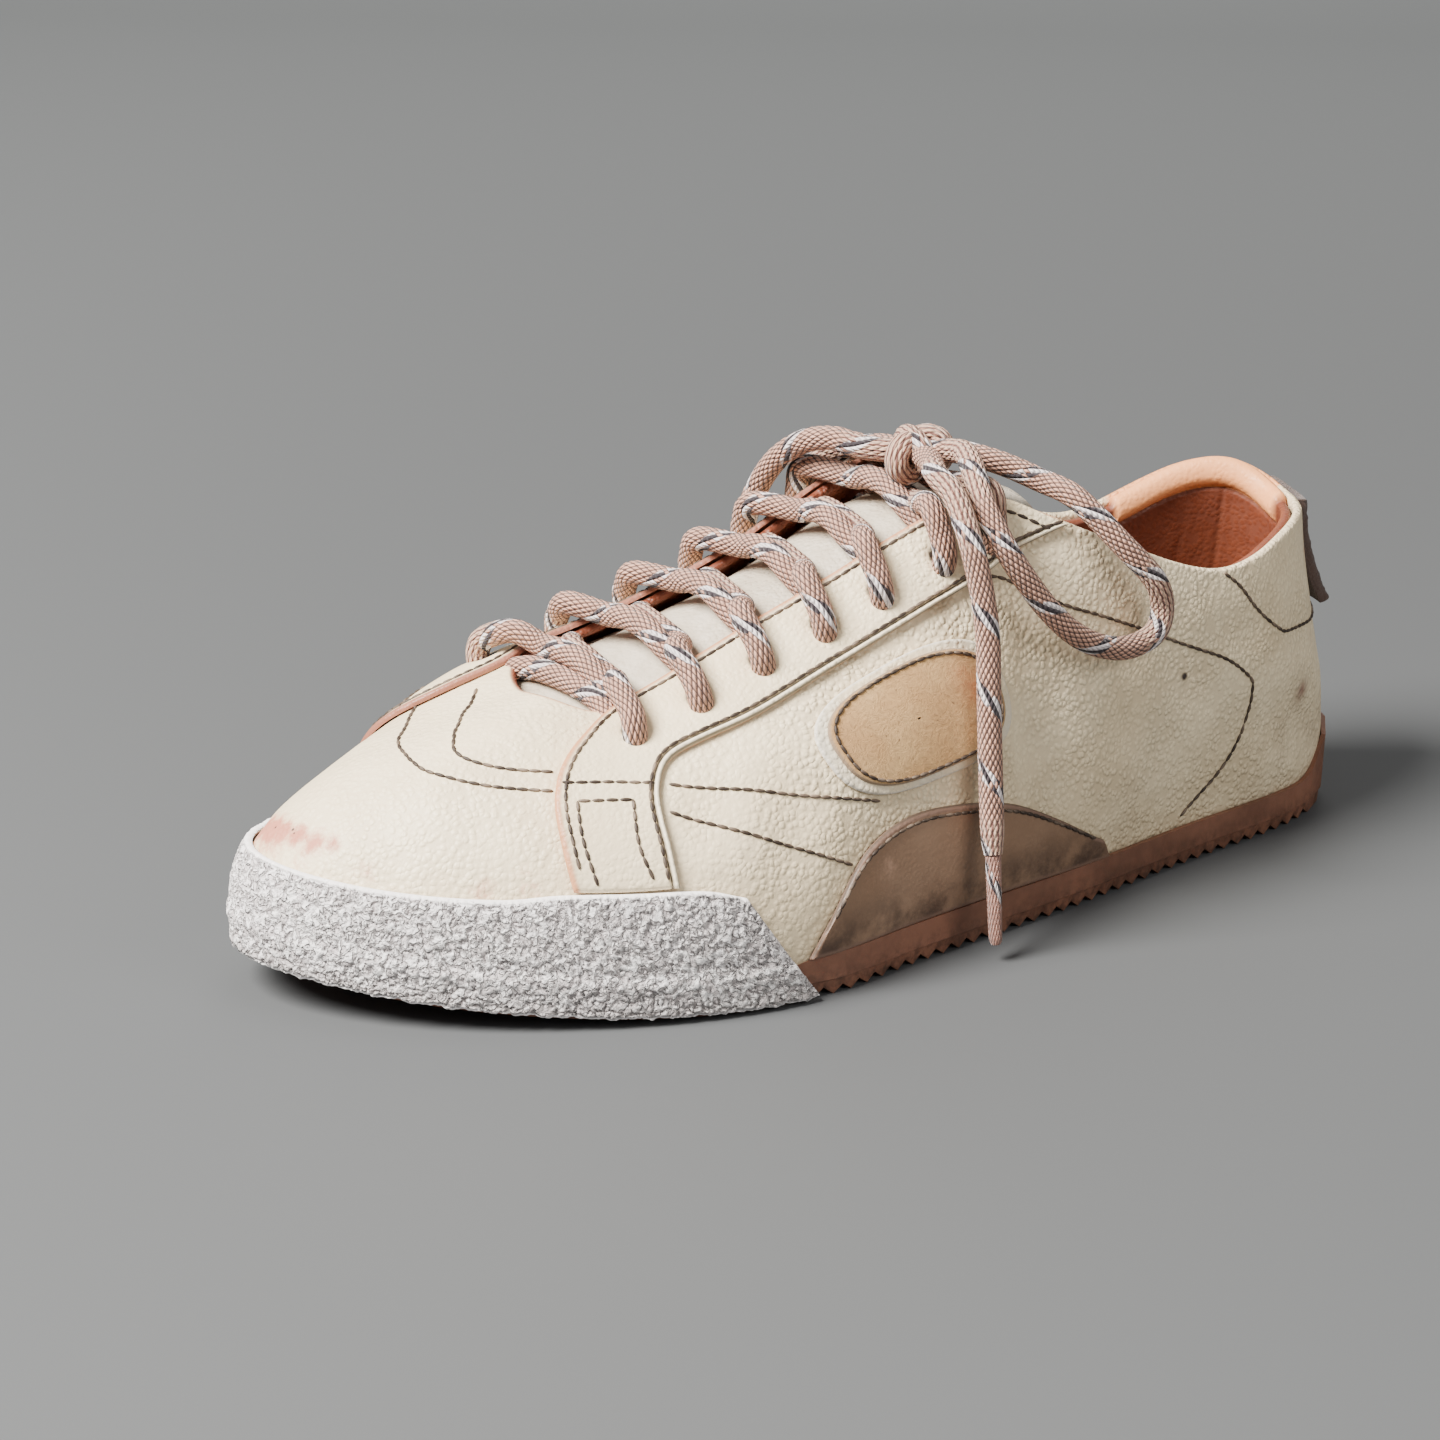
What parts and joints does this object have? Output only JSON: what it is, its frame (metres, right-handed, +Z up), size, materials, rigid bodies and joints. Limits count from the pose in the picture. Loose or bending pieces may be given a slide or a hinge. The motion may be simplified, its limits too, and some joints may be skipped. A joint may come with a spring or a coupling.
{
  "type": "low sneaker",
  "caption": "Worn low lace-up sneaker with a pebbled leather upper, toe bumper, arch patch, loose bow and thin toothed rubber sole, standing empty.",
  "frame": {"origin": "point on the floor plane under the middle of the sole's length, on the sole's flat bottom", "axes": "+Z up, the toe points to -X and the heel to +X, the outer side of this left shoe faces -Y"},
  "size_m": [0.2884, 0.1096, 0.1069],
  "materials": {
    "sole_rubber": "matt, worn",
    "insole_leather": "matt",
    "cream_leather": "pebbled, satin",
    "eyestay_outer_side_leather": "smooth, satin",
    "eyestay_inner_side_leather": "smooth, satin",
    "bumper_rubber": "matt, crackled",
    "arch_leather": "matt",
    "patch_suede": "napped",
    "lining_leather": "matt",
    "tab_suede": "napped",
    "tongue_leather": "matt",
    "lace_cord": "woven",
    "bow_cord": "woven",
    "lace_tip_plastic": "smooth"
  },
  "bodies": {
    "root": {"outsole": "sole_rubber", "insole": "insole_leather", "upper": "cream_leather", "eyestay_outer_side": "eyestay_outer_side_leather", "eyestay_inner_side": "eyestay_inner_side_leather", "toe_bumper": "bumper_rubber", "arch_patch": "arch_leather", "side_patch": "patch_suede", "collar_lining": "lining_leather", "heel_pull_tab": "tab_suede", "tongue": "tongue_leather", "lace_crossing_1": "lace_cord", "lace_crossing_2": "lace_cord", "lace_crossing_3": "lace_cord", "lace_crossing_4": "lace_cord", "lace_crossing_5": "lace_cord", "lace_crossing_6": "lace_cord", "lace_top_strand": "lace_cord", "lace_knot": "bow_cord", "lace_loop_outer_side": "bow_cord", "lace_loop_inner_side": "bow_cord", "lace_end_outer_side": "bow_cord", "lace_end_inner_side": "bow_cord", "lace_tip_outer_side": "lace_tip_plastic", "lace_tip_inner_side": "lace_tip_plastic"}
  },
  "joints": []
}
